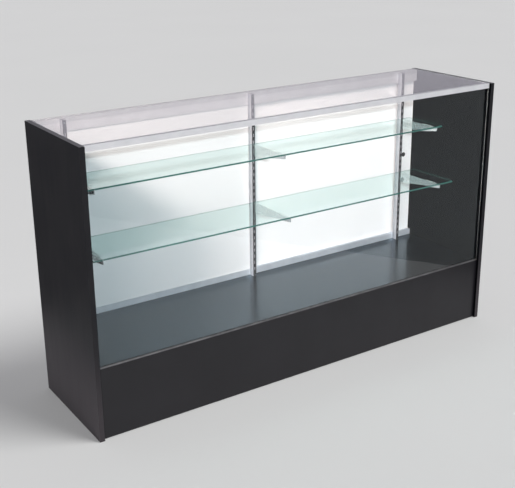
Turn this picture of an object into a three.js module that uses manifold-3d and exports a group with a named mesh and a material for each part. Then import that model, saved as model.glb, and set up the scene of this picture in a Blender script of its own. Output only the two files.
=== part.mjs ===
import * as THREE from "three";
import { mergeVertices } from "three/addons/utils/BufferGeometryUtils.js";
import Module from "manifold-3d";

const wasm = await Module();
wasm.setup();

// Glass display showcase, millimetres.
// X runs along the counter, -Y is the customer's side, +Y the sliding doors, +Z up.
// The origin is the middle of the footprint, on the floor.

// Whole case
const caseLength = 1778;
const caseDepth = 457;
const caseHeight = 1016;
const boardThick = 18;
const fit = 0.3;
const overrun = 2;

// Base
const deckTop = 262;
const baseSetback = 10;
const rearSetback = 7;
const kickGap = 2;
const cleatSide = 18;
const cleatInset = 24;
const dividerThick = 18;

// Glass
const frontGlassThick = 6;
const topGlassThick = 6;
const shelfGlassThick = 6;

// Top rails, extruded aluminium
const railHeight = 20;
const railDepth = 22;
const railSetback = 9;
const railLip = 2.5;
const railWall = 2;
const rearRailHeight = 22;
const rearRailDepth = 24.5;

// Channel under the front glass
const channelHeight = 6;
const channelWall = 1.5;

// Corner brackets that hold the rails to the end panels
const cornerArm = 12;
const cornerWall = 2.5;
const cornerWidth = 8;

// Door tracks
const trackWall = 2;
const trackWeb = 3;
const lowerTrackHeight = 25;
const lowerGroove = 9;
const upperTrackHeight = 32;
const trackCapThick = 2;
const trackCapRound = 6;

// Sliding doors
const doorThick = 5;
const doorOverlap = 40;
const doorEntry = 18;
const pullRadius = 10;
const pullFlangeRadius = 12;
const pullFlangeThick = 1;
const pullWall = 1.5;
const pullFloor = 1;
const pullFromEdge = 45;
const pullHeight = 640;

// Lock on the meeting edge of the right door
const lockHeight = 640;
const lockRadius = 8.5;
const lockRoseRadius = 11;
const lockRoseThick = 1.5;
const lockReach = 8;
const lockFloor = 2;
const lockNutThick = 2;
const lockNutRadius = 12;
const lockNose = 0.5;
const barrelRadius = 5.5;
const barrelProud = 0.6;
const keySlotLong = 7;
const keySlotWide = 1.4;
const keySlotDeep = 6;

// Rear uprights with slotted standards
const uprightInset = 101;
const uprightWidth = 14;
const uprightDepth = 12.5;
const uprightWall = 1.5;
const uprightTopGap = 3;
const standardDepth = 12;
const standardWall = 1.5;
const slotPitch = 26.4;
const slotTall = 13;
const slotWide = 3.8;
const firstSlotHeight = 27.3;
const slotTopMargin = 22;
const screwRadius = 1.8;
const screwHeadRadius = 3.4;
const screwHeadThick = 1.8;
const screwEndGrip = 3;
const screwFromEnd = 10;

// Shelves and their brackets; a bracket's upper hook sits in the slot of this number
const lowerHookSlot = 10;
const upperHookSlot = 19;
const lowerShelfDepth = 235;
const upperShelfDepth = 200;
const shelfOverhang = 54;
const shelfShift = 21;
const shelfRearGap = 9;
const bladeThick = 3;
const bladeOverSlot = 7.8;
const bladeRoot = 48;
const bladeTip = 11;
const noseReach = 4;
const noseRise = 5;
const noseGap = 0.4;
const hookDrop = 4;
const hookThick = 3;
const hookTall = 8;
const padThick = 1;
const padWide = 6;
const padLong = 60;
const padFromFront = 20;

const roundSides = 32;
const smallSides = 16;
const cornerSteps = 6;
const weldDistance = 0.00001;

// Derived places
const halfLength = caseLength / 2;
const innerX = halfLength - boardThick;
const spanLength = 2 * (innerX - fit);
const frontY = -caseDepth / 2;
const rearY = caseDepth / 2;
const baseFrontY = frontY + baseSetback;
const baseRearY = rearY - rearSetback;
const deckBottom = deckTop - boardThick;
const rearRailFrontY = baseRearY - rearRailDepth;
const trackFrontY = rearRailFrontY;
const trackDepth = rearRailDepth;
const lane = (trackDepth - 3 * trackWall) / 2;
const frontDoorY = trackFrontY + trackWall + lane / 2;
const rearDoorY = frontDoorY + lane + trackWall;
const upperTrackTop = caseHeight - rearRailHeight - fit;
const upperTrackBottom = upperTrackTop - upperTrackHeight;
const lowerTrackTop = deckTop + fit + lowerTrackHeight;
const doorBottom = lowerTrackTop - lowerGroove + fit;
const doorTop = upperTrackBottom + doorEntry;
const capInnerX = innerX - fit - trackCapThick;
const doorOuterX = capInnerX - fit;
const doorWidth = doorOuterX + doorOverlap / 2;
const uprightRearY = trackFrontY - fit;
const uprightFrontY = uprightRearY - uprightDepth;
const standardRearY = uprightFrontY - fit;
const standardFrontY = standardRearY - standardDepth;
const uprightTop = caseHeight - topGlassThick - uprightTopGap;
const standardBottom = deckTop + fit;
const shelfRearY = standardFrontY - shelfRearGap;
const outerUprightX = innerX - uprightInset;
const shelfLength = 2 * (outerUprightX + shelfOverhang);
const uprightShares = [-1, 0, 1];
const uprightNames = ["left", "centre", "right"];

// Finishes, one function per material
const finish = (color, roughness, metalness, opacity = 1) =>
  new THREE.MeshStandardMaterial({ color, roughness, metalness, opacity, transparent: opacity < 1 });
const blackBoard = () => finish(0x2b2a2d, 0.45, 0);
const greyDeck = () => finish(0x6f7779, 0.3, 0);
const rawBoard = () => finish(0xb79a6b, 0.9, 0);
const satinAluminium = () => finish(0xc4c5c8, 0.35, 1);
const zincSteel = () => finish(0xb9bcbd, 0.4, 1);
const whiteDoor = () => finish(0xf2f3f3, 0.4, 0);
const clearGlass = () => finish(0xdff0ea, 0.03, 0, 0.25);
const blackPlastic = () => finish(0x121315, 0.5, 0);
const clearVinyl = () => finish(0xe8eceb, 0.4, 0, 0.6);
const chrome = () => finish(0xd9dadb, 0.15, 1);

const showcase = new THREE.Group();

function add(name, geometry, material, x, y, z) {
  const mesh = new THREE.Mesh(geometry, material);
  mesh.name = name;
  mesh.position.set(x, y, z);
  showcase.add(mesh);
  return mesh;
}

// A plain board or pane between two corners
function addBlock(name, material, low, high) {
  const size = high.map((value, axis) => value - low[axis]);
  const middle = high.map((value, axis) => (value + low[axis]) / 2);
  add(name, new THREE.BoxGeometry(...size), material, ...middle);
}

function toSolid(geometry) {
  const bare = geometry.clone();
  bare.deleteAttribute("normal");
  bare.deleteAttribute("uv");
  const merged = mergeVertices(bare, weldDistance);
  return new wasm.Manifold(
    new wasm.Mesh({
      numProp: 3,
      vertProperties: new Float32Array(merged.attributes.position.array),
      triVerts: new Uint32Array(merged.index.array),
    }),
  );
}

function toGeometry(solid) {
  const mesh = solid.getMesh();
  const geometry = new THREE.BufferGeometry();
  geometry.setAttribute("position", new THREE.BufferAttribute(new Float32Array(mesh.vertProperties), 3));
  geometry.setIndex(new THREE.BufferAttribute(new Uint32Array(mesh.triVerts), 1));
  geometry.computeVertexNormals();
  return geometry;
}

function subtractAll(geometry, cutters) {
  let solid = toSolid(geometry);
  for (const cutter of cutters) {
    solid = solid.subtract(toSolid(cutter));
  }
  return toGeometry(solid);
}

function outline(points) {
  const shape = new THREE.Shape();
  shape.moveTo(...points[0]);
  for (const point of points.slice(1)) {
    shape.lineTo(...point);
  }
  shape.closePath();
  return shape;
}

// An extrusion that runs along X: the outline holds [y, z] pairs
function alongX(shape, length) {
  const options = { depth: length, bevelEnabled: false, curveSegments: cornerSteps };
  const geometry = new THREE.ExtrudeGeometry(shape, options);
  geometry.translate(0, 0, -length / 2);
  geometry.rotateY(Math.PI / 2);
  geometry.rotateX(Math.PI / 2);
  return geometry;
}

// An extrusion that stands along Z: the outline holds [x, y] pairs
function alongZ(shape, length) {
  return new THREE.ExtrudeGeometry(shape, { depth: length, bevelEnabled: false });
}

// A turned piece whose axis is Y: the profile holds [radius, y] pairs
function turned(profile, sides) {
  const points = profile.map(([radius, y]) => new THREE.Vector2(radius, y));
  return new THREE.LatheGeometry(points, sides);
}

// End panels, which carry the case and stand on the floor
function addEndPanels() {
  for (const [side, sign] of [["left", -1], ["right", 1]]) {
    const low = [sign < 0 ? -halfLength : innerX, frontY, 0];
    const high = [sign < 0 ? -innerX : halfLength, rearY, caseHeight];
    addBlock(`end_panel_${side}`, blackBoard(), low, high);
  }
}

// Plinth: kick panel at the customer's side, back panel, divider, cleats and the deck on top
function addBase() {
  const x = innerX - fit;
  const kickRearY = baseFrontY + boardThick;
  const backFrontY = baseRearY - boardThick;
  addBlock("front_base_panel", blackBoard(), [-x, baseFrontY, kickGap], [x, kickRearY, deckTop]);
  addBlock("rear_base_panel", blackBoard(), [-x, backFrontY, kickGap], [x, baseRearY, deckBottom - fit]);
  addBlock("deck_board", greyDeck(), [-x, kickRearY + fit, deckBottom], [x, baseRearY, deckTop]);
  const dividerLow = [-dividerThick / 2, kickRearY + fit, kickGap];
  addBlock("base_divider", rawBoard(), dividerLow, [dividerThick / 2, backFrontY - fit, deckBottom - fit]);
  for (const [side, sign] of [["left", -1], ["right", 1]]) {
    const near = sign * (innerX - fit);
    const far = sign * (innerX - fit - cleatSide);
    const low = [Math.min(near, far), kickRearY + cleatInset, deckBottom - fit - cleatSide];
    const high = [Math.max(near, far), backFrontY - cleatInset, deckBottom - fit];
    addBlock(`deck_cleat_${side}`, rawBoard(), low, high);
  }
}

const frontGlassFrontY = frontY + railSetback + railLip + fit;
const frontGlassRearY = frontGlassFrontY + frontGlassThick;
const glassLedgeTop = caseHeight - topGlassThick - fit;
const ledgeBottom = glassLedgeTop - railWall;
const topGlassRearY = baseRearY - railLip - fit;

// Front rail: a lip before the top pane, a ledge under it and a groove for the front pane
function addFrontRail() {
  const y0 = frontY + railSetback;
  const y1 = y0 + railDepth;
  const bottom = caseHeight - railHeight;
  const grooveRearY = frontGlassRearY + fit;
  const profile = outline([
    [y0, bottom],
    [y0 + railLip, bottom],
    [y0 + railLip, ledgeBottom],
    [grooveRearY, ledgeBottom],
    [grooveRearY, bottom],
    [grooveRearY + railWall, bottom],
    [grooveRearY + railWall, ledgeBottom],
    [y1, ledgeBottom],
    [y1, glassLedgeTop],
    [y0 + railLip, glassLedgeTop],
    [y0 + railLip, caseHeight],
    [y0, caseHeight],
  ]);
  add("front_top_rail", alongX(profile, spanLength), satinAluminium(), 0, 0, 0);
}

// Rear rail: the same lip and ledge, over a hollow box that the upper track hangs from
function addRearRail() {
  const y0 = rearRailFrontY;
  const y1 = baseRearY;
  const bottom = caseHeight - rearRailHeight;
  const profile = outline([
    [y0, bottom],
    [y0 + railWall, bottom],
    [y0 + railWall, ledgeBottom],
    [y1 - railLip, ledgeBottom],
    [y1 - railLip, bottom],
    [y1, bottom],
    [y1, caseHeight],
    [y1 - railLip, caseHeight],
    [y1 - railLip, glassLedgeTop],
    [y0, glassLedgeTop],
  ]);
  add("rear_top_rail", alongX(profile, spanLength), satinAluminium(), 0, 0, 0);
}

// The teeth of a two-lane track, from front to rear, with the lanes' closed side at webZ
function laneTeeth(webZ, openZ) {
  const points = [];
  let y = trackFrontY;
  for (let lanes = 0; lanes < 2; lanes += 1) {
    points.push([y, openZ], [y + trackWall, openZ], [y + trackWall, webZ]);
    y += trackWall + lane;
    points.push([y, webZ]);
  }
  points.push([y, openZ], [y + trackWall, openZ]);
  return points;
}

function addTracks() {
  const trackRearY = trackFrontY + trackDepth;

  // The lower track stands on two legs, with its lanes above a web
  const lowerBottom = deckTop + fit;
  const lowerWebTop = lowerTrackTop - lowerGroove;
  const lowerWebLow = lowerWebTop - trackWeb;
  const lower = outline([
    ...laneTeeth(lowerWebTop, lowerTrackTop),
    [trackRearY, lowerBottom],
    [trackRearY - trackWall, lowerBottom],
    [trackRearY - trackWall, lowerWebLow],
    [trackFrontY + trackWall, lowerWebLow],
    [trackFrontY + trackWall, lowerBottom],
    [trackFrontY, lowerBottom],
  ]);
  const lowerLength = 2 * (capInnerX - fit);
  add("lower_door_track", alongX(lower, lowerLength), satinAluminium(), 0, 0, 0);

  // The upper track's lanes are deep, so that a door can be lifted out of the lower one
  const upper = outline([
    ...laneTeeth(upperTrackTop - trackWeb, upperTrackBottom),
    [trackRearY, upperTrackTop],
    [trackFrontY, upperTrackTop],
  ]);
  add("upper_door_track", alongX(upper, spanLength), satinAluminium(), 0, 0, 0);

  const cap = new THREE.Shape();
  cap.moveTo(trackFrontY, lowerBottom);
  cap.lineTo(trackRearY, lowerBottom);
  cap.lineTo(trackRearY, lowerTrackTop);
  const roundY = trackFrontY + trackCapRound;
  cap.lineTo(roundY, lowerTrackTop);
  cap.absarc(roundY, lowerTrackTop - trackCapRound, trackCapRound, Math.PI / 2, Math.PI, false);
  cap.closePath();
  for (const [side, sign] of [["left", -1], ["right", 1]]) {
    const x = sign * (innerX - fit - trackCapThick / 2);
    add(`track_end_cap_${side}`, alongX(cap, trackCapThick), clearVinyl(), x, 0, 0);
  }
}

// Shallow channel on the kick panel that the front pane stands in
function addFrontGlass() {
  const y0 = frontGlassFrontY - fit - channelWall;
  const y1 = frontGlassRearY + fit + channelWall;
  const bottom = deckTop + fit;
  const floor = bottom + channelWall;
  const top = bottom + channelHeight;
  const profile = outline([
    [y0, bottom],
    [y1, bottom],
    [y1, top],
    [y1 - channelWall, top],
    [y1 - channelWall, floor],
    [y0 + channelWall, floor],
    [y0 + channelWall, top],
    [y0, top],
  ]);
  add("front_glass_channel", alongX(profile, spanLength), satinAluminium(), 0, 0, 0);
  const x = innerX - fit;
  const glassLow = [-x, frontGlassFrontY, floor + fit];
  addBlock("front_glass", clearGlass(), glassLow, [x, frontGlassRearY, ledgeBottom - fit]);
  const topLow = [-x, frontGlassFrontY, glassLedgeTop + fit];
  addBlock("top_glass", clearGlass(), topLow, [x, topGlassRearY, caseHeight]);
}

// Angle pieces that screw the rails to the end panels
function addCornerBrackets() {
  const angle = outline([
    [0, 0],
    [cornerArm, 0],
    [cornerArm, -cornerWall],
    [cornerWall, -cornerWall],
    [cornerWall, -cornerArm],
    [0, -cornerArm],
  ]);
  const frontLow = frontGlassRearY + fit + railWall + fit;
  const rearLow = rearRailFrontY + railWall + fit;
  for (const [end, y] of [["front", frontLow], ["rear", rearLow]]) {
    for (const [side, sign] of [["left", -1], ["right", 1]]) {
      const geometry = alongZ(angle, cornerWidth);
      geometry.rotateX(Math.PI / 2);
      if (sign > 0) {
        geometry.rotateZ(Math.PI);
        geometry.translate(0, -cornerWidth, 0);
      }
      const x = sign * (innerX - fit);
      const name = `rail_corner_${end}_${side}`;
      add(name, geometry, zincSteel(), x, y + cornerWidth, ledgeBottom - fit);
    }
  }
}

const slotLow = (index) => standardBottom + firstSlotHeight + index * slotPitch;
const screwHeights = [standardBottom + screwFromEnd, uprightTop - screwFromEnd];
const uprightLength = uprightTop - standardBottom;

// Cutters for the screws' holes through a wall that starts at wallY
function screwHoles(wallY, wallThick) {
  const length = wallThick + 2 * overrun;
  return screwHeights.map((z) => {
    const hole = new THREE.CylinderGeometry(screwRadius + fit, screwRadius + fit, length, smallSides);
    hole.translate(0, wallY + wallThick / 2, z);
    return hole;
  });
}

// Hollow upright between the deck and the top pane
function addUpright(name, x) {
  const half = uprightWidth / 2;
  const section = outline([
    [-half, uprightFrontY],
    [half, uprightFrontY],
    [half, uprightRearY],
    [-half, uprightRearY],
  ]);
  const inHalf = half - uprightWall;
  const hollow = new THREE.Path();
  hollow.moveTo(-inHalf, uprightFrontY + uprightWall);
  hollow.lineTo(inHalf, uprightFrontY + uprightWall);
  hollow.lineTo(inHalf, uprightRearY - uprightWall);
  hollow.lineTo(-inHalf, uprightRearY - uprightWall);
  hollow.closePath();
  section.holes.push(hollow);
  const tube = alongZ(section, uprightLength);
  tube.translate(0, 0, standardBottom);
  const solid = subtractAll(tube, screwHoles(uprightFrontY, uprightWall));
  add(`rear_upright_${name}`, solid, satinAluminium(), x, 0, 0);
}

// Slotted standard: a channel, open to the rear, on the upright's face
function addStandard(name, x) {
  const half = uprightWidth / 2;
  const channel = outline([
    [-half, standardFrontY],
    [half, standardFrontY],
    [half, standardRearY],
    [half - standardWall, standardRearY],
    [half - standardWall, standardFrontY + standardWall],
    [-half + standardWall, standardFrontY + standardWall],
    [-half + standardWall, standardRearY],
    [-half, standardRearY],
  ]);
  const bar = alongZ(channel, uprightLength);
  bar.translate(0, 0, standardBottom);
  const cutters = screwHoles(standardFrontY, standardWall);
  const last = uprightTop - slotTopMargin - slotTall;
  for (let index = 0; slotLow(index) < last; index += 1) {
    const slot = new THREE.BoxGeometry(slotWide, standardWall + 2 * overrun, slotTall);
    slot.translate(0, standardFrontY + standardWall / 2, slotLow(index) + slotTall / 2);
    cutters.push(slot);
  }
  add(`shelf_standard_${name}`, subtractAll(bar, cutters), zincSteel(), x, 0, 0);
}

// One screw near each end holds the standard to the upright
function addStandardScrews(name, x) {
  const headY = standardFrontY - fit - screwHeadThick;
  const tipY = uprightFrontY + uprightWall + screwEndGrip;
  screwHeights.forEach((z, level) => {
    const screw = turned(
      [
        [0, headY],
        [screwHeadRadius, headY],
        [screwHeadRadius, headY + screwHeadThick],
        [screwRadius, headY + screwHeadThick],
        [screwRadius, tipY],
        [0, tipY],
      ],
      smallSides,
    );
    const place = level === 0 ? "bottom" : "top";
    add(`standard_screw_${place}_${name}`, screw, zincSteel(), x, 0, z);
  });
}

function addUprights() {
  uprightShares.forEach((share, index) => {
    const x = share * outerUprightX;
    addUpright(uprightNames[index], x);
    addStandard(uprightNames[index], x);
    addStandardScrews(uprightNames[index], x);
  });
}

// A blade whose hooks pass through two slots; [y, z] outline, cut from flat plate
function addBracket(name, x, hookSlot, bladeTop, shelfDepth) {
  const noseBackY = shelfRearY - shelfDepth - noseGap;
  const noseFrontY = noseBackY - noseReach;
  const rootY = standardFrontY - fit;
  const hookInY = standardFrontY + standardWall + fit;
  const hookEndY = hookInY + hookThick;
  const points = [
    [noseFrontY, bladeTop - bladeTip],
    [rootY, bladeTop - bladeRoot],
  ];
  for (const slot of [hookSlot - 1, hookSlot]) {
    const tabLow = slotLow(slot) + fit;
    const tabHigh = tabLow + hookTall;
    points.push([rootY, tabLow]);
    points.push([hookInY, tabLow]);
    points.push([hookInY, tabLow - hookDrop]);
    points.push([hookEndY, tabLow - hookDrop]);
    points.push([hookEndY, tabHigh]);
    points.push([rootY, tabHigh]);
  }
  const noseTop = bladeTop + padThick + noseRise;
  points.push([rootY, bladeTop], [noseBackY, bladeTop]);
  points.push([noseBackY, noseTop], [noseFrontY, noseTop]);
  add(`${name}_bracket`, alongX(outline(points), bladeThick), zincSteel(), x, 0, 0);

  // Soft pad on the blade's top edge, so that the glass doesn't slip
  const padFrontY = noseBackY + padFromFront;
  const padLow = [x - padWide / 2, padFrontY, bladeTop + fit];
  const padHigh = [x + padWide / 2, padFrontY + padLong, bladeTop + fit + padThick];
  addBlock(`${name}_pad`, clearVinyl(), padLow, padHigh);
}

function addShelves() {
  const rows = [
    ["lower", lowerHookSlot, lowerShelfDepth, shelfShift],
    ["upper", upperHookSlot, upperShelfDepth, -shelfShift],
  ];
  for (const [row, hookSlot, depth, shift] of rows) {
    const bladeTop = slotLow(hookSlot) + slotTall + bladeOverSlot;
    uprightShares.forEach((share, index) => {
      const x = share * outerUprightX;
      addBracket(`${row}_${uprightNames[index]}`, x, hookSlot, bladeTop, depth);
    });
    const glassLow = bladeTop + fit + padThick + fit;
    const low = [shift - shelfLength / 2, shelfRearY - depth, glassLow];
    const high = [shift + shelfLength / 2, shelfRearY, glassLow + shelfGlassThick];
    addBlock(`${row}_glass_shelf`, clearGlass(), low, high);
  }
}

// Round cutter through a door
function doorHole(radius, x, z) {
  const hole = new THREE.CylinderGeometry(radius, radius, doorThick + 2 * overrun, roundSides);
  hole.translate(x, 0, z);
  return hole;
}

function addDoors() {
  const centreX = doorOuterX - doorWidth / 2;
  const centreZ = (doorBottom + doorTop) / 2;
  const half = doorWidth / 2;
  const doors = [["left", -1, frontDoorY], ["right", 1, rearDoorY]];
  for (const [side, sign, y] of doors) {
    const panel = new THREE.BoxGeometry(doorWidth, doorThick, doorTop - doorBottom);
    const pullX = sign * (half - pullFromEdge);
    const holes = [doorHole(pullRadius + fit, pullX, pullHeight - centreZ)];
    if (sign > 0) {
      holes.push(doorHole(lockRadius + fit, -sign * (half - doorOverlap / 2), lockHeight - centreZ));
    }
    add(`sliding_door_${side}`, subtractAll(panel, holes), whiteDoor(), sign * centreX, y, centreZ);

    // Cup pressed into the door, open to the clerk's side
    const faceY = doorThick / 2;
    const cup = turned(
      [
        [0, -faceY - pullFlangeThick],
        [pullRadius, -faceY - pullFlangeThick],
        [pullRadius, faceY + fit],
        [pullFlangeRadius, faceY + fit],
        [pullFlangeRadius, faceY + fit + pullFlangeThick],
        [pullRadius - pullWall, faceY + fit + pullFlangeThick],
        [pullRadius - pullWall, -faceY - pullFlangeThick + pullFloor],
        [0, -faceY - pullFlangeThick + pullFloor],
      ],
      roundSides,
    );
    const x = sign * (doorOuterX - pullFromEdge);
    add(`finger_pull_${side}`, cup, blackPlastic(), x, y, pullHeight);
  }
}

// Lock through the right door: a body with a rose on the clerk's side, a nut on the
// customer's side, and a barrel that the key turns
function addLock() {
  const faceY = doorThick / 2;
  const roseY = faceY + fit;
  const bodyEndY = roseY + lockRoseThick + lockReach;
  const nutLowY = -faceY - fit - lockNutThick;
  const bodyLowY = nutLowY - lockNose;
  const boreLowY = bodyLowY + lockFloor;
  const bore = barrelRadius + fit;
  const body = turned(
    [
      [0, bodyLowY],
      [lockRadius, bodyLowY],
      [lockRadius, roseY],
      [lockRoseRadius, roseY],
      [lockRoseRadius, roseY + lockRoseThick],
      [lockRadius, roseY + lockRoseThick],
      [lockRadius, bodyEndY],
      [bore, bodyEndY],
      [bore, boreLowY],
      [0, boreLowY],
    ],
    roundSides,
  );
  add("lock_body", body, chrome(), 0, rearDoorY, lockHeight);

  const corners = [];
  for (let corner = 0; corner < 6; corner += 1) {
    const angle = (corner * Math.PI) / 3;
    corners.push([lockNutRadius * Math.cos(angle), lockNutRadius * Math.sin(angle)]);
  }
  const hexagon = outline(corners);
  hexagon.holes.push(new THREE.Path().absarc(0, 0, lockRadius + fit, 0, 2 * Math.PI, true));
  const options = { depth: lockNutThick, bevelEnabled: false, curveSegments: roundSides };
  const nut = new THREE.ExtrudeGeometry(hexagon, options);
  nut.rotateX(Math.PI / 2);
  add("lock_nut", nut, chrome(), 0, rearDoorY + nutLowY + lockNutThick, lockHeight);

  const barrelLowY = boreLowY + fit;
  const barrelLong = bodyEndY + barrelProud - barrelLowY;
  const barrel = new THREE.CylinderGeometry(barrelRadius, barrelRadius, barrelLong, roundSides);
  const keySlot = new THREE.BoxGeometry(keySlotWide, 2 * keySlotDeep, keySlotLong);
  keySlot.translate(0, barrelLong / 2, 0);
  const barrelY = rearDoorY + barrelLowY + barrelLong / 2;
  add("lock_barrel", subtractAll(barrel, [keySlot]), chrome(), 0, barrelY, lockHeight);
}

addEndPanels();
addBase();
addFrontRail();
addRearRail();
addTracks();
addFrontGlass();
addCornerBrackets();
addUprights();
addShelves();
addDoors();
addLock();

export default showcase;
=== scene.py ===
import math

import bmesh
import bpy
from mathutils import Matrix, Vector


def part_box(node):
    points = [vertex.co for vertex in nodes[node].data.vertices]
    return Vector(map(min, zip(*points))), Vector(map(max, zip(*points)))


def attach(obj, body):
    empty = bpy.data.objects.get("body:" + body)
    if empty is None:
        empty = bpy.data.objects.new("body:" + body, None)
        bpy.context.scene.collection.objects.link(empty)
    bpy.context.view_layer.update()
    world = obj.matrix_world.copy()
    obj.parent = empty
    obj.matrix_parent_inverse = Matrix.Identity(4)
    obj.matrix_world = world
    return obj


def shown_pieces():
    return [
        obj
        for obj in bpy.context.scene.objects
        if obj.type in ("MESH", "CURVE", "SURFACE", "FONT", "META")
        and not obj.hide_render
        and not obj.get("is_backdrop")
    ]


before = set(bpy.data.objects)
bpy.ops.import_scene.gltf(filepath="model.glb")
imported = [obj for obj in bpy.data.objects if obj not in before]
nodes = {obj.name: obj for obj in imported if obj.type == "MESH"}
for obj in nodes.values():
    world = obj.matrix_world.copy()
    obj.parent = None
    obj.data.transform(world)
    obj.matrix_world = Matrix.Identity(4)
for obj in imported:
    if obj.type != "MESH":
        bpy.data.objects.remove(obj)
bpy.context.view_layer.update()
print("showcase: packed model loaded,", len(nodes), "nodes")


# camera, placed from the perspective lines of the photograph
camera = {
    "place": (-1.94814, -2.78469, 1.69814),
    "right": (0.8357258541, -0.5490262693, -0.0115087976),
    "down": (-0.1863316852, -0.2637945895, -0.9464105439),
    "forward": (0.5165682917, 0.7930842138, -0.3227609486),
    "lens": 65.196,
    "sensor": 36,
    "shift": (0.0158, -0.0408),
    "reach": 100,
}


def makeCamera(values):
    lensData = bpy.data.cameras.new("photoCamera")
    lensData.lens = values["lens"]
    lensData.sensor_width = values["sensor"]
    lensData.shift_x, lensData.shift_y = values["shift"]
    lensData.clip_end = values["reach"]
    shot = bpy.data.objects.new("photoCamera", lensData)
    bpy.context.scene.collection.objects.link(shot)
    right, down, forward = (Vector(values[way]) for way in ("right", "down", "forward"))
    turn = Matrix((right, -down, -forward)).transposed().to_4x4()
    shot.matrix_world = Matrix.Translation(values["place"]) @ turn
    bpy.context.scene.camera = shot


makeCamera(camera)
print("showcase: camera placed")


# node helpers: put() makes a shader node, wire() joins two sockets
def newMaterial(name):
    made = bpy.data.materials.new(name)
    made.use_nodes = True
    made.node_tree.nodes.clear()
    return made, made.node_tree


def put(tree, kind, settings=None, **values):
    made = tree.nodes.new("ShaderNode" + kind)
    for key, value in (settings or {}).items():
        setattr(made, key, value)
    for key, value in values.items():
        made.inputs[key.replace("_", " ")].default_value = value
    return made


def wire(tree, source, socket, target, targetSocket):
    tree.links.new(source.outputs[socket], target.inputs[targetSocket])


def stretched(tree, stretch):
    # object coordinates, scaled so that a texture runs out along one axis
    place = put(tree, "TexCoord")
    mapping = put(tree, "Mapping", Scale=stretch)
    wire(tree, place, "Object", mapping, "Vector")
    return mapping


noiseRange = (0.3, 0.7)  # nearly all values of a noise texture lie between these


def noise(tree, mapping, scale, detail=3.0, rough=0.5):
    made = put(tree, "TexNoise", Scale=scale, Detail=detail, Roughness=rough)
    wire(tree, mapping, "Vector", made, "Vector")
    return made


def spread(tree, source, socket, low, high, fromLow=noiseRange[0], fromHigh=noiseRange[1]):
    made = put(tree, "MapRange")
    made.inputs["From Min"].default_value = fromLow
    made.inputs["From Max"].default_value = fromHigh
    made.inputs["To Min"].default_value = low
    made.inputs["To Max"].default_value = high
    wire(tree, source, socket, made, "Value")
    return made


def blendColour(tree, source, socket, low, high):
    ramp = put(tree, "ValToRGB")
    for stop, position, colour in zip(ramp.color_ramp.elements, noiseRange, (low, high)):
        stop.position = position
        stop.color = (*colour, 1)
    wire(tree, source, socket, ramp, "Fac")
    return ramp


def toneOf(node):
    return [socket for socket in node.outputs if socket.type == "RGBA"][0]


def calculate(tree, kind, first, firstSocket, second, secondSocket=None):
    # second is a node or a plain number
    made = put(tree, "Math", {"operation": kind})
    wire(tree, first, firstSocket, made, 0)
    if secondSocket is None:
        made.inputs[1].default_value = second
    else:
        wire(tree, second, secondSocket, made, 1)
    return made


def mixTones(tree, share, low, high):
    # low and high are a colour or a node that gives one
    made = put(tree, "Mix", {"data_type": "RGBA"})
    colours = [socket for socket in made.inputs if socket.type == "RGBA"]
    tree.links.new(share.outputs[0], made.inputs[0])
    for socket, tone in zip(colours, (low, high)):
        if isinstance(tone, tuple):
            socket.default_value = (*tone, 1)
        else:
            tree.links.new(toneOf(tone), socket)
    return made


def mixShaders(tree, share, low, high):
    made = put(tree, "MixShader")
    for socket, source in enumerate((share, low, high)):
        wire(tree, source, 0, made, socket)
    return made


def facingOf(tree):
    # the way a face looks, in the node's own axes
    surface = put(tree, "TexCoord")
    facing = put(tree, "SeparateXYZ")
    wire(tree, surface, "Normal", facing, "Vector")
    return facing


def finishSurface(tree, shader, bumpFrom=None, strength=0.1, height=0.0002):
    if bumpFrom is not None:
        bump = put(tree, "Bump", Strength=strength, Distance=height)
        wire(tree, bumpFrom[0], bumpFrom[1], bump, "Height")
        wire(tree, bump, "Normal", shader, "Normal")
    out = put(tree, "OutputMaterial")
    wire(tree, shader, 0, out, "Surface")


# what all the boards, paints and plastics share
boardGrain = {
    "cloudScale": 7,
    "pebbleScale": 900,
    "pebbleHeight": 0.0002,
    "wipe": (30, 30, 2.5),  # streaks left by a cloth, drawn out upwards
    "gloss": 0.5,
    "sheen": (1, 1, 1),
}

# laminate on board: end panels and base fronts
blackBoard = {
    **boardGrain,
    "low": (0.0058, 0.0048, 0.0078),
    "high": (0.0095, 0.0082, 0.0120),
    "roughLow": 0.34,
    "roughHigh": 0.42,
    "pebble": 0.07,
}


def addPaintedLight(tree, mapping, colour, rough, values):
    # painted light: the outer faces are painted lighter, more so towards the floor where they catch the
    # floor's light, faces that look upwards get a painted highlight, and the inner ones are painted darker
    # and made rougher
    place = put(tree, "SeparateXYZ")
    wire(tree, mapping, "Vector", place, "Vector")
    reach = calculate(tree, "ABSOLUTE", place, "X", 0)
    outer = spread(tree, reach, "Value", 0, 1, *values["outerFrom"])
    near = spread(tree, place, "Z", 1, 0, *values["floorGlowHeight"])
    near.interpolation_type = "SMOOTHSTEP"
    colour = mixTones(tree, outer, values["shadedInnerTone"], colour)
    upward = spread(tree, facingOf(tree), "Z", 0, 1, *values["upward"])
    glowShare = calculate(tree, "MULTIPLY", outer, "Result", near, "Result")
    colour = mixTones(tree, glowShare, colour, values["floorGlow"])
    colour = mixTones(tree, upward, colour, values["topHighlight"])
    dull = spread(tree, outer, "Result", values["innerRough"], 0, 0, 1)
    return colour, calculate(tree, "ADD", rough, "Result", dull, "Result")


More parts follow.
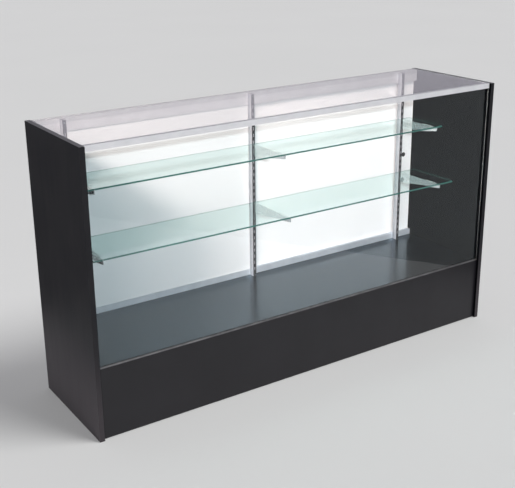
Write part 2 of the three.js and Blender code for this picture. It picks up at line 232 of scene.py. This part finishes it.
def makeBoard(name, values):
    made, tree = newMaterial(name)
    mapping = stretched(tree, (1, 1, 1))
    cloud = noise(tree, mapping, values["cloudScale"], detail=4)
    wipe = noise(tree, stretched(tree, values["wipe"]), 1, detail=5, rough=0.6)
    pebble = noise(tree, mapping, values["pebbleScale"], detail=2, rough=0.6)
    colour = blendColour(tree, cloud, "Fac", values["low"], values["high"])
    rough = spread(tree, wipe, "Fac", values["roughLow"], values["roughHigh"])
    shader = put(tree, "BsdfPrincipled")
    shader.inputs["Specular IOR Level"].default_value = values["gloss"]
    shader.inputs["Specular Tint"].default_value = (*values["sheen"], 1)
    # painted light and shade on the end panels' faces
    if "floorGlow" in values:
        colour, rough = addPaintedLight(tree, mapping, colour, rough, values)
    tree.links.new(toneOf(colour), shader.inputs["Base Color"])
    tree.links.new(rough.outputs[0], shader.inputs["Roughness"])
    finishSurface(tree, shader, (pebble, "Fac"), values["pebble"], values["pebbleHeight"])
    return made


# end panels: painted highlight on the top edge, outer faces painted lighter and lighter still towards the
# floor, inner faces painted darker and duller
endBoard = {
    **blackBoard,
    # painted light: the outer faces are painted far lighter than the same laminate elsewhere
    "low": (0.0520, 0.0510, 0.0570),
    "high": (0.0620, 0.0600, 0.0650),
    "gloss": 0.05,
    # painted shade: the inner faces painted darker
    "shadedInnerTone": (0.0050, 0.0058, 0.0078),
    # painted highlight: faces that look upwards painted light grey
    "topHighlight": (0.48, 0.47, 0.48),
    # painted floor glow: outer faces lighter towards the floor, standing in for the floor's light
    "floorGlow": (0.140, 0.124, 0.134),
    "floorGlowHeight": (0.02, 0.42),
    "outerFrom": (0.8712, 0.8722),  # distance from the middle where the inner face ends
    "upward": (0.5, 0.95),
    "innerRough": 0.45,
}


# near-black glossy laminate of the display floor, grey where it mirrors the doors
greyDeck = {
    **boardGrain,
    "low": (0.0008, 0.0012, 0.0026),
    "high": (0.0016, 0.0022, 0.0038),
    "roughLow": 0.17,
    "roughHigh": 0.21,
    "gloss": 0.78,
    "sheen": (0.26, 0.68, 1.0),
    "wipe": (3, 3, 3),
    "pebble": 0.02,
}

# bare chipboard of the hidden frame
rawBoard = {
    "chip": (0.36, 0.25, 0.15),
    "chipDark": (0.20, 0.12, 0.065),
    "scale": 260,
    "stretch": (1, 1, 2.2),
    "fineScale": 700,
    "roughLow": 0.72,
    "roughHigh": 0.92,
    "depth": 0.5,
    "height": 0.0004,
}


def makeChipboard(name, values):
    made, tree = newMaterial(name)
    mapping = stretched(tree, values["stretch"])
    chips = put(tree, "TexVoronoi", Scale=values["scale"], Randomness=1.0)
    wire(tree, mapping, "Vector", chips, "Vector")
    fine = noise(tree, mapping, values["fineScale"], detail=4)
    colour = blendColour(tree, chips, "Distance", values["chip"], values["chipDark"])
    rough = spread(tree, fine, "Fac", values["roughLow"], values["roughHigh"])
    shader = put(tree, "BsdfPrincipled")
    wire(tree, colour, "Color", shader, "Base Color")
    wire(tree, rough, "Result", shader, "Roughness")
    finishSurface(tree, shader, (chips, "Distance"), values["depth"], values["height"])
    return made


# drawn and brushed metals; brush marks run along the axis that has the smallest number in grain
metalGrain = {"cloudScale": 24, "streakHeight": 0.0001}
railMetal = {
    **metalGrain,
    "low": (0.80, 0.80, 0.83),
    "high": (0.88, 0.88, 0.91),
    "roughLow": 0.38,
    "roughHigh": 0.50,
    "grain": (5, 900, 900),
    "depth": 0.15,
    "metal": 0.3,
}
# painted shade: the lower track, upper track, rear rail and glass channel are copies of the rail's
# aluminium painted darker, each to the shade it sits in
shadedTrackMetal = {**railMetal, "low": (0.64, 0.68, 0.73), "high": (0.76, 0.80, 0.85), "metal": 0.5}
shadedHeaderMetal = {**railMetal, "low": (0.66, 0.65, 0.67), "high": (0.74, 0.73, 0.75)}
shadedRearMetal = {**railMetal, "low": (0.53, 0.53, 0.55), "high": (0.61, 0.61, 0.63)}
shadedChannelMetal = {**railMetal, "low": (0.17, 0.17, 0.18), "high": (0.30, 0.30, 0.31), "metal": 0.9}
postMetal = {
    **metalGrain,
    "low": (0.36, 0.37, 0.40),
    "high": (0.46, 0.47, 0.50),
    "roughLow": 0.28,
    "roughHigh": 0.42,
    "grain": (700, 700, 5),
    "depth": 0.15,
    "metal": 0.8,
}
slottedSteel = {
    **postMetal,
    "low": (0.035, 0.035, 0.040),
    "high": (0.075, 0.075, 0.080),
    # painted light: flanks and slot walls painted brighter than the front face
    "litFlank": (0.44, 0.45, 0.48),
    "faceFrom": (-0.9, -0.6),
    "metal": 0.4,
    "roughLow": 0.25,
    "roughHigh": 0.40,
}
zincMetal = {
    **metalGrain,
    "low": (0.50, 0.53, 0.54),
    "high": (0.58, 0.61, 0.62),
    "roughLow": 0.20,
    "roughHigh": 0.30,
    "grain": (90, 90, 60),
    "depth": 0.04,
    "metal": 0.9,
}
chromeMetal = {
    **metalGrain,
    "low": (0.80, 0.81, 0.82),
    "high": (0.90, 0.90, 0.91),
    "roughLow": 0.06,
    "roughHigh": 0.16,
    "grain": (300, 300, 300),
    "depth": 0.04,
    "metal": 1.0,
}


def makeMetal(name, values):
    made, tree = newMaterial(name)
    streaks = noise(tree, stretched(tree, values["grain"]), 1, detail=4, rough=0.6)
    cloud = noise(tree, stretched(tree, (1, 1, 1)), values["cloudScale"])
    colour = blendColour(tree, cloud, "Fac", values["low"], values["high"])
    rough = spread(tree, streaks, "Fac", values["roughLow"], values["roughHigh"])
    if "litFlank" in values:
        # painted light: the flanks and slot walls are painted brighter than the dark front face, where the
        # lamps fall on them
        face = spread(tree, facingOf(tree), "Y", 1, 0, *values["faceFrom"])
        colour = mixTones(tree, face, values["litFlank"], colour)
    shader = put(tree, "BsdfPrincipled", Metallic=values["metal"])
    tree.links.new(toneOf(colour), shader.inputs["Base Color"])
    wire(tree, rough, "Result", shader, "Roughness")
    finishSurface(tree, shader, (streaks, "Fac"), values["depth"], values["streakHeight"])
    return made


# painted hardboard of the sliding doors
whiteDoor = {
    **boardGrain,
    "low": (0.845, 0.845, 0.850),
    "high": (0.862, 0.862, 0.864),
    "roughLow": 0.30,
    "roughHigh": 0.42,
    "pebble": 0.08,
}

# finger pulls, and the dark plastic of small fittings
blackPlastic = {
    **boardGrain,
    "low": (0.012, 0.012, 0.012),
    "high": (0.022, 0.022, 0.023),
    "roughLow": 0.28,
    "roughHigh": 0.40,
    "pebble": 0.10,
}

# soft pads between bracket and glass
clearVinyl = {
    **boardGrain,
    "low": (0.62, 0.66, 0.65),
    "high": (0.74, 0.78, 0.77),
    "roughLow": 0.30,
    "roughHigh": 0.45,
    "pebble": 0.05,
}

# float glass; lamps and diffuse light go straight through it, edges are ground and show the green body
paneGlass = {
    "tint": (0.965, 0.975, 0.975),
    "shade": (0.90, 0.92, 0.92),
    "edge": (0.16, 0.22, 0.21),
    "edgeShare": 0.55,
    "edgeRough": (0.12, 0.32),
    "edgeWear": 1.5,
    "grindScale": 1400,
    "smear": 0.012,
    "smearScale": 9,
    "smearFrom": (0.45, 0.8),
    "flatFrom": 0.9,
    "bend": 1.5,  # refractive index
}
frontGlass = {
    **paneGlass,
    "tint": (0.920, 0.970, 0.985),
    "shade": (0.875, 0.925, 0.940),
    "edge": (0.030, 0.029, 0.026),
    "edgeShare": 0.9,
}
shelfGlass = {
    **paneGlass,
    "tint": (0.775, 0.91, 0.885),
    "shade": (0.80, 0.88, 0.86),
    "edge": (0.025, 0.125, 0.105),
    "edgeShare": 0.85,
    "smear": 0.015,
}


def makeGlass(name, values, flatAxis):
    # faces that look along flatAxis are the polished pane, the rest is its ground edge
    made, tree = newMaterial(name)
    mapping = stretched(tree, (1, 1, 1))
    smear = noise(tree, mapping, values["smearScale"], detail=5, rough=0.6)
    pane = put(tree, "BsdfPrincipled", IOR=values["bend"], Transmission_Weight=1.0)
    pane.inputs["Base Color"].default_value = (*values["tint"], 1)
    paneRough = spread(tree, smear, "Fac", 0.0, values["smear"], *values["smearFrom"])
    wire(tree, paneRough, "Result", pane, "Roughness")

    grind = noise(tree, mapping, values["grindScale"])
    edge = put(tree, "BsdfPrincipled", IOR=values["bend"])
    worn = tuple(values["edgeWear"] * part for part in values["edge"])
    edgeColour = blendColour(tree, grind, "Fac", values["edge"], worn)
    wire(tree, edgeColour, "Color", edge, "Base Color")
    edgeRough = spread(tree, grind, "Fac", *values["edgeRough"])
    wire(tree, edgeRough, "Result", edge, "Roughness")

    flatness = calculate(tree, "ABSOLUTE", facingOf(tree), flatAxis, 0)
    isEdge = calculate(tree, "LESS_THAN", flatness, "Value", values["flatFrom"])
    share = calculate(tree, "MULTIPLY", isEdge, "Value", values["edgeShare"])
    solid = mixShaders(tree, share, pane, edge)
    clear = put(tree, "BsdfTransparent")
    clear.inputs["Color"].default_value = (*values["shade"], 1)
    path = put(tree, "LightPath")
    either = calculate(tree, "MAXIMUM", path, "Is Shadow Ray", path, "Is Diffuse Ray")
    finishSurface(tree, mixShaders(tree, either, solid, clear))
    return made


finish = {
    "board": makeBoard("blackLaminate", blackBoard),
    "endBoard": makeBoard("blackEndLaminate", endBoard),
    "deck": makeBoard("greyLaminate", greyDeck),
    "raw": makeChipboard("bareChipboard", rawBoard),
    "rail": makeMetal("satinRail", railMetal),
    "track": makeMetal("satinTrackShaded", shadedTrackMetal),
    "header": makeMetal("satinHeaderShaded", shadedHeaderMetal),
    "rearRail": makeMetal("satinRearRailShaded", shadedRearMetal),
    "channel": makeMetal("satinChannelShaded", shadedChannelMetal),
    "post": makeMetal("satinPost", postMetal),
    "slotted": makeMetal("slottedSteel", slottedSteel),
    "zinc": makeMetal("zincPlate", zincMetal),
    "chrome": makeMetal("polishedChrome", chromeMetal),
    "door": makeBoard("whitePaint", whiteDoor),
    "plastic": makeBoard("blackMoulding", blackPlastic),
    "vinyl": makeBoard("softVinyl", clearVinyl),
    "frontPane": makeGlass("frontPane", frontGlass, "Y"),
    "topPane": makeGlass("topPane", paneGlass, "Z"),
    "shelfPane": makeGlass("shelfPane", shelfGlass, "Z"),
}
print("showcase: materials made,", len(finish))


# which node has which finish, and how far its edges are eased, in metres
sides = ("left", "right")
posts = ("left", "centre", "right")
shelves = ("lower", "upper")
dressing = {
    "endBoard": (0.0006, [f"end_panel_{side}" for side in sides]),
    "board": (0.0006, ["front_base_panel", "rear_base_panel"]),
    "deck": (0.0005, ["deck_board"]),
    "raw": (0.0004, ["base_divider", "deck_cleat_left", "deck_cleat_right"]),
    "rail": (0.0004, ["front_top_rail"]
             + [f"rail_corner_{end}_{side}" for end in ("front", "rear") for side in sides]),
    "track": (0.0004, ["lower_door_track"]),
    "header": (0.0004, ["upper_door_track"]),
    "rearRail": (0.0004, ["rear_top_rail"]),
    "channel": (0.0003, ["front_glass_channel"]),
    "post": (0.0003, [f"rear_upright_{post}" for post in posts]),
    "slotted": (0.0002, [f"shelf_standard_{post}" for post in posts]),
    "zinc": (0.0002, [f"{shelf}_{post}_bracket" for shelf in shelves for post in posts]
             + [f"standard_screw_{end}_{post}" for end in ("bottom", "top") for post in posts]),
    "chrome": (0.0002, ["lock_body", "lock_nut", "lock_barrel"]),
    "door": (0.0005, [f"sliding_door_{side}" for side in sides]),
    "plastic": (0.0002, [f"{part}_{side}" for part in ("finger_pull", "track_end_cap") for side in sides]),
    "vinyl": (0.0002, [f"{shelf}_{post}_pad" for shelf in shelves for post in posts]),
    "frontPane": (0.0004, ["front_glass"]),
    "topPane": (0.0004, ["top_glass"]),
    "shelfPane": (0.0004, [f"{shelf}_glass_shelf" for shelf in shelves]),
}

easing = {"segments": 2, "angle": 40}


def dress(node, material, ease):
    for place in node.material_slots:
        place.material = material
    soft = node.modifiers.new("easedEdges", "BEVEL")
    soft.width = ease
    soft.segments = easing["segments"]
    soft.limit_method = "ANGLE"
    soft.angle_limit = math.radians(easing["angle"])
    soft.harden_normals = True


dressed = set()
for finishName, (ease, names) in dressing.items():
    for nodeName in names:
        dress(nodes[nodeName], finish[finishName], ease)
        dressed.add(nodeName)
print("showcase: nodes dressed,", len(dressed), "of", len(nodes), sorted(set(nodes) - dressed))


# small fittings that only the eye needs
def prism(mesh, outline, low, high, axis):
    # outline is drawn in the two axes other than the one it is pushed along
    rings = []
    for level in (low, high):
        ring = []
        for u, v in outline:
            place = [u, v]
            place.insert(axis, level)
            ring.append(mesh.verts.new(place))
        rings.append(ring)
    mesh.faces.new(rings[0])
    mesh.faces.new(list(reversed(rings[1])))
    for here in range(len(outline)):
        following = (here + 1) % len(outline)
        mesh.faces.new((rings[0][following], rings[0][here], rings[1][here], rings[1][following]))


def fitting(name, draw, values, material, body):
    mesh = bmesh.new()
    draw(mesh, values)
    bmesh.ops.recalc_face_normals(mesh, faces=mesh.faces)
    data = bpy.data.meshes.new(name)
    mesh.to_mesh(data)
    mesh.free()
    data.materials.append(material)
    made = bpy.data.objects.new(name, data)
    bpy.context.scene.collection.objects.link(made)
    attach(made, body)
    return made


# painted shade: a thin dark sheet on the lock barrel's end face, standing in for the shade inside the key
# slot
keySlotShade = {"half": 0.0022, "round": 0.00055, "proud": 0.0001, "steps": 8}


def drawKeySlotShade(mesh, values):
    low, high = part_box("lock_barrel")
    middle = (low + high) / 2
    outline = []
    for end, start in ((1, 0), (-1, 180)):
        for step in range(values["steps"] + 1):
            turn = math.radians(start + step * 180 / values["steps"])
            across = values["round"] * math.cos(turn)
            along = end * values["half"] + values["round"] * math.sin(turn)
            outline.append((middle.x + across, middle.z + along))
    prism(mesh, outline, high.y - values["proud"], high.y + values["proud"], 1)


# painted shade: thin dark crosses on the heads of the standards' screws, standing in for the shade in
# their cross recesses
recessShade = {"arm": 0.0017, "web": 0.0004, "proud": 0.0001, "sunk": 0.0003}


def drawRecessShades(mesh, values):
    arm, web = values["arm"], values["web"]
    quarter = [(web, web), (web, arm), (-web, arm)]
    for end in ("bottom", "top"):
        for post in posts:
            low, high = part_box(f"standard_screw_{end}_{post}")
            middle = (low + high) / 2
            outline = []
            for turns in range(4):
                for u, v in quarter:
                    for quarterTurn in range(turns):
                        u, v = -v, u
                    outline.append((middle.x + u, middle.z + v))
            prism(mesh, outline, low.y - values["proud"], low.y + values["sunk"], 1)


# soft strips between the front glass and the lips of its channel
bead = {"thick": 0.0006, "gap": 0.00005, "sunk": 0.0008, "proud": 0.0007, "short": 0.0005, "steps": 6}


def drawBeads(mesh, values):
    channelLow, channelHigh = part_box("front_glass_channel")
    glassLow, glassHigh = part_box("front_glass")
    foot = channelHigh.z - values["sunk"]
    top = channelHigh.z + values["proud"]
    half = values["thick"] / 2
    left, right = channelLow.x + values["short"], channelHigh.x - values["short"]
    for middle in (glassLow.y - values["gap"] - half, glassHigh.y + values["gap"] + half):
        outline = [(middle - half, foot), (middle + half, foot)]
        for step in range(values["steps"] + 1):
            turn = math.pi * step / values["steps"]
            outline.append((middle + half * math.cos(turn), top - half + half * math.sin(turn)))
        prism(mesh, outline, left, right, 0)


fittings = [
    fitting("key_slot_shade", drawKeySlotShade, keySlotShade, finish["plastic"], "key_barrel"),
    fitting("screw_recess_shades", drawRecessShades, recessShade, finish["plastic"], "case"),
    fitting("glazing_beads", drawBeads, bead, finish["plastic"], "case"),
]
print("showcase: fittings made,", len(fittings))


# floor: paper near the case, and the studio floor beyond it
floorValues = {
    "paper": (0.80, 0.80, 0.79),
    "rough": 0.9,
    "gloss": 0.1,
    "cloudScale": 0.6,
    "cloudShade": 0.985,
    "toothScale": 300,
    "tooth": 0.05,
    "left": -1.25,
    "right": 1.52,
    "near": -6.0,
    "far": 9.0,
    "reach": 40.0,
    "paperDrop": 0.0004,  # just under the feet
    "wideDrop": 0.001,
}


def makePaper(values):
    made, tree = newMaterial("palePaper")
    mapping = stretched(tree, (1, 1, 1))
    cloud = noise(tree, mapping, values["cloudScale"])
    tooth = noise(tree, mapping, values["toothScale"])
    low = tuple(values["cloudShade"] * part for part in values["paper"])
    colour = blendColour(tree, cloud, "Fac", low, values["paper"])
    shader = put(tree, "BsdfPrincipled", Roughness=values["rough"])
    shader.inputs["Specular IOR Level"].default_value = values["gloss"]
    wire(tree, colour, "Color", shader, "Base Color")
    finishSurface(tree, shader, (tooth, "Fac"), values["tooth"])
    return made


def flatSheet(name, corners, material):
    mesh = bpy.data.meshes.new(name)
    mesh.from_pydata([(x, y, 0) for x, y in corners], [], [(0, 1, 2, 3)])
    mesh.materials.append(material)
    made = bpy.data.objects.new(name, mesh)
    bpy.context.scene.collection.objects.link(made)
    made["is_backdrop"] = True
    return made


def makeFloor(values):
    paper = makePaper(values)
    ahead = Vector(camera["forward"][:2]).normalized()
    across = Vector((ahead.y, -ahead.x))
    eye = Vector(camera["place"][:2])
    strip = []
    for side, along in (("left", "near"), ("right", "near"), ("right", "far"), ("left", "far")):
        strip.append(eye + across * values[side] + ahead * values[along])
    reach = values["reach"]
    square = [(-reach, -reach), (reach, -reach), (reach, reach), (-reach, reach)]
    wide = flatSheet("studioFloor", square, paper)
    wide.location.z = -values["wideDrop"]
    wide.visible_glossy = False
    near = flatSheet("paperStrip", strip, paper)
    near.location.z = -values["paperDrop"]
    return wide, near


studioFloor, paperStrip = makeFloor(floorValues)
print("showcase: floor laid")


# world: bright wall behind the case, dimmer room in front
room = {
    "behind": (0.59, 0.57, 0.64),
    "front": (0.155, 0.170, 0.190),
    "above": (0.15, 0.15, 0.16),
    "under": (0.05, 0.05, 0.05),
    "strength": 0.85,
    "aroundFrom": (-0.2, 0.8),  # cosine of the angle to the middle of the wall behind
    "aboveFrom": (0.35, 0.75),
    "underFrom": (-0.05, 0.0),
}


def makeWorld(values):
    world = bpy.data.worlds.new("studioRoom")
    bpy.context.scene.world = world
    world.use_nodes = True
    tree = world.node_tree
    tree.nodes.clear()
    place = put(tree, "TexCoord")
    facing = put(tree, "VectorMath", {"operation": "DOT_PRODUCT"})
    facing.inputs[1].default_value = Vector((*camera["forward"][:2], 0)).normalized()
    wire(tree, place, "Generated", facing, 0)
    parts = put(tree, "SeparateXYZ")
    wire(tree, place, "Generated", parts, "Vector")
    around = spread(tree, facing, "Value", 0, 1, *values["aroundFrom"])
    high = spread(tree, parts, "Z", 0, 1, *values["aboveFrom"])
    below = spread(tree, parts, "Z", 0, 1, *values["underFrom"])
    walls = mixTones(tree, around, values["front"], values["behind"])
    dome = mixTones(tree, high, walls, values["above"])
    whole = mixTones(tree, below, values["under"], dome)
    back = put(tree, "Background", Strength=values["strength"])
    tree.links.new(toneOf(whole), back.inputs["Color"])
    out = put(tree, "OutputWorld")
    wire(tree, back, 0, out, "Surface")


makeWorld(room)


# lamps: azimuth runs from the front towards the left, in degrees; sizes and distances in metres
lamps = {
    "keyLamp": {"azimuth": 59.6, "elevation": 33, "aim": (-0.2, 0.2, 0.55), "distance": 8.0, "size": 1.3,
                "power": 550, "lights": "inside", "shellShadows": True, "colour": (1.16, 0.99, 0.925)},
    "sideLamp": {"azimuth": 54, "elevation": 28, "aim": (0, 0.2, 0.5), "distance": 5.5, "size": 3.3,
                 "power": 170, "lights": "inside", "shellShadows": True, "colour": (1.16, 0.99, 0.925),
                 "mirrored": False},
    "fillLamp": {"azimuth": -10, "elevation": 40, "aim": (-0.1, 0.2, 0.6), "distance": 2.8, "size": 1.0,
                 "power": 14, "lights": "trim"},
    "frontLamp": {"azimuth": 21, "elevation": 17.2, "angle": 1.2, "strength": 1.5, "lights": "front"},
    "doorLamp": {"azimuth": 21, "elevation": 17.2, "aim": (0.42, 0.2, 0.6), "distance": 8.0, "size": 0.17,
                 "power": 98, "lights": "rightDoor", "colour": (1.04, 1.0, 0.98)},
    "floorLamp": {"azimuth": -45, "elevation": 55, "angle": 30, "strength": 1.6, "lights": "floor"},
    "floorFill": {"azimuth": 0, "elevation": 90, "angle": 30, "strength": 0.72, "lights": "floor",
                  "plain": True},
}
litAreas = ("inside", "front", "floor", "trim", "rightDoor")
shadedFromKey = ("end_panel_left", "end_panel_right", "front_base_panel", "front_top_rail")
thinParts = ("post", "slotted", "zinc", "vinyl", "chrome", "plastic", "frontPane", "topPane", "shelfPane")


def makeLamps(values):
    lit = {area: bpy.data.collections.new(area + "Lit") for area in litAreas}
    lit["trim"].objects.link(nodes["front_top_rail"])
    lit["rightDoor"].objects.link(nodes["sliding_door_right"])
    casting = bpy.data.collections.new("shellCasting")
    thin = [nodes[name] for key in thinParts for name in dressing[key][1]] + fittings
    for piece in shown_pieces():
        if piece not in [nodes[name] for name in shadedFromKey]:
            lit["inside"].objects.link(piece)
        if piece not in [nodes[f"end_panel_{side}"] for side in sides]:
            lit["front"].objects.link(piece)
        if piece not in thin:
            casting.objects.link(piece)
    for sheet in (studioFloor, paperStrip):
        lit["floor"].objects.link(sheet)
    for name, lamp in values.items():
        swing = math.radians(lamp["azimuth"])
        rise = math.radians(lamp["elevation"])
        level = math.cos(rise)
        towards = Vector((-math.sin(swing) * level, -math.cos(swing) * level, math.sin(rise)))
        if "angle" in lamp:
            data = bpy.data.lights.new(name, "SUN")
            data.energy = lamp["strength"]
            data.angle = math.radians(lamp["angle"])
        else:
            data = bpy.data.lights.new(name, "AREA")
            data.shape = "DISK"
            data.size = lamp["size"]
            data.energy = lamp["power"]
        data.color = lamp.get("colour", (1, 1, 1))
        data.use_shadow = not lamp.get("plain", False)
        made = bpy.data.objects.new(name, data)
        bpy.context.scene.collection.objects.link(made)
        made.rotation_euler = towards.to_track_quat("Z", "Y").to_euler()
        made.location = Vector(lamp.get("aim", (0, 0, 0))) + towards * lamp.get("distance", 5)
        made.visible_camera = False
        made.visible_transmission = False  # keeps the lamps' own shapes out of the panes
        made.visible_glossy = lamp.get("mirrored", True)
        made.light_linking.receiver_collection = lit[lamp["lights"]]
        if lamp.get("shellShadows", False):
            made.light_linking.blocker_collection = casting


makeLamps(lamps)
bpy.context.scene.view_settings.view_transform = "Standard"
print("showcase: lamps and room set")
